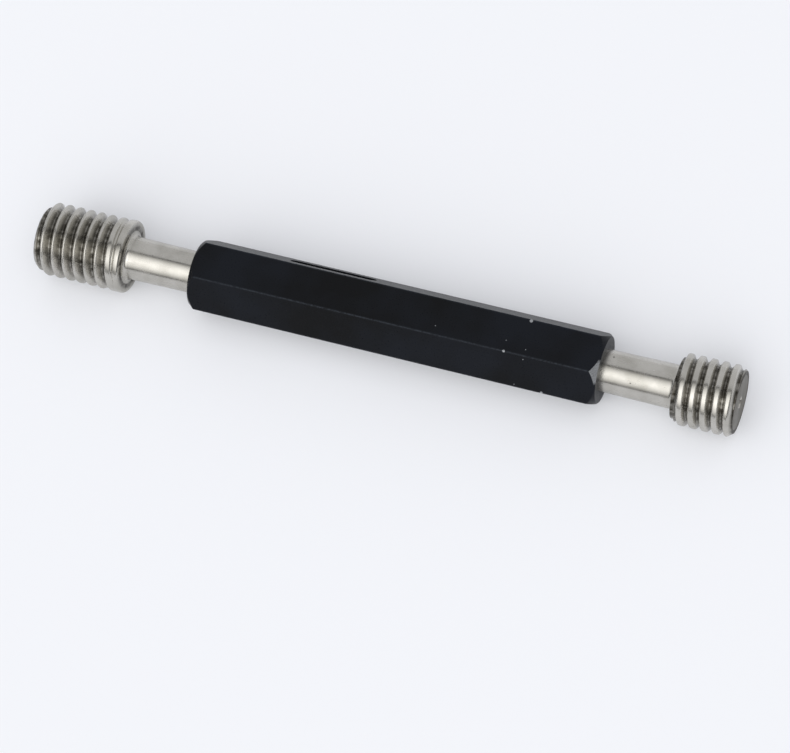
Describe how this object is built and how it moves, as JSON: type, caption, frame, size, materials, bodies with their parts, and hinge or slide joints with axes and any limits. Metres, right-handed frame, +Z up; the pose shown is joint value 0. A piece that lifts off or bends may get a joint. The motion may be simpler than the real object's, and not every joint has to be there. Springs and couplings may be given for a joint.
{
  "type": "thread plug gauge",
  "caption": "Double-ended thread plug gauge: a hexagonal bar handle with a GO thread plug held by a taper in one end and a shorter NO-GO thread plug in the other.",
  "frame": {"origin": "on the surface that the gauge lies on, under the middle of its whole length", "axes": "+X along the gauge from the GO end to the NO-GO end, +Z up, square to the handle's upper flat"},
  "size_m": [0.078, 0.0084, 0.008],
  "materials": {
    "black_oxide_steel": "black oxide on milled steel, satin",
    "ground_steel": "hardened tool steel, ground bright"
  },
  "bodies": {
    "root": {"handle": "black_oxide_steel", "go_member": "ground_steel", "no_go_member": "ground_steel"}
  },
  "joints": []
}
